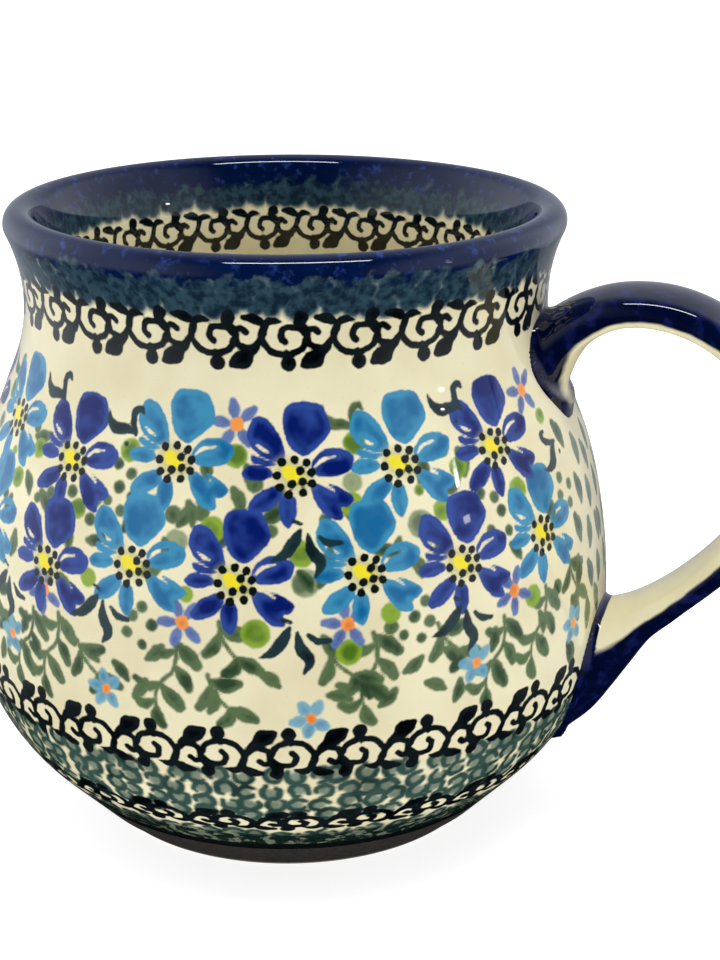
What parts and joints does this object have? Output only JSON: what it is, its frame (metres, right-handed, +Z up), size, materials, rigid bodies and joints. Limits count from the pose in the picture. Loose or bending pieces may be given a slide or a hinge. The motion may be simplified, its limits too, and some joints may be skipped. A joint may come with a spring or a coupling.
{
  "type": "polish stoneware mug",
  "caption": "Bellied glazed stoneware mug with a narrowed neck, rounded lip, low foot ring and a flat looped strap handle, painted in blue and green.",
  "frame": {"origin": "on the resting plane, under the centre of the whole mug's bounding box (bowl and handle together)", "axes": "+Z up along the bowl's axis, +X from the bowl towards the handle, +Y completes the right-handed frame; the handle's plane of symmetry is XZ"},
  "size_m": [0.1319, 0.103, 0.0981],
  "materials": {
    "decorated_glaze": "glossy clear glaze over a painted ivory body",
    "cobalt_glaze": "glossy clear glaze over cobalt"
  },
  "bodies": {
    "root": {"mug_body": "decorated_glaze", "handle": "cobalt_glaze", "upper_joint_slip": "cobalt_glaze", "lower_joint_slip": "cobalt_glaze"}
  },
  "joints": []
}
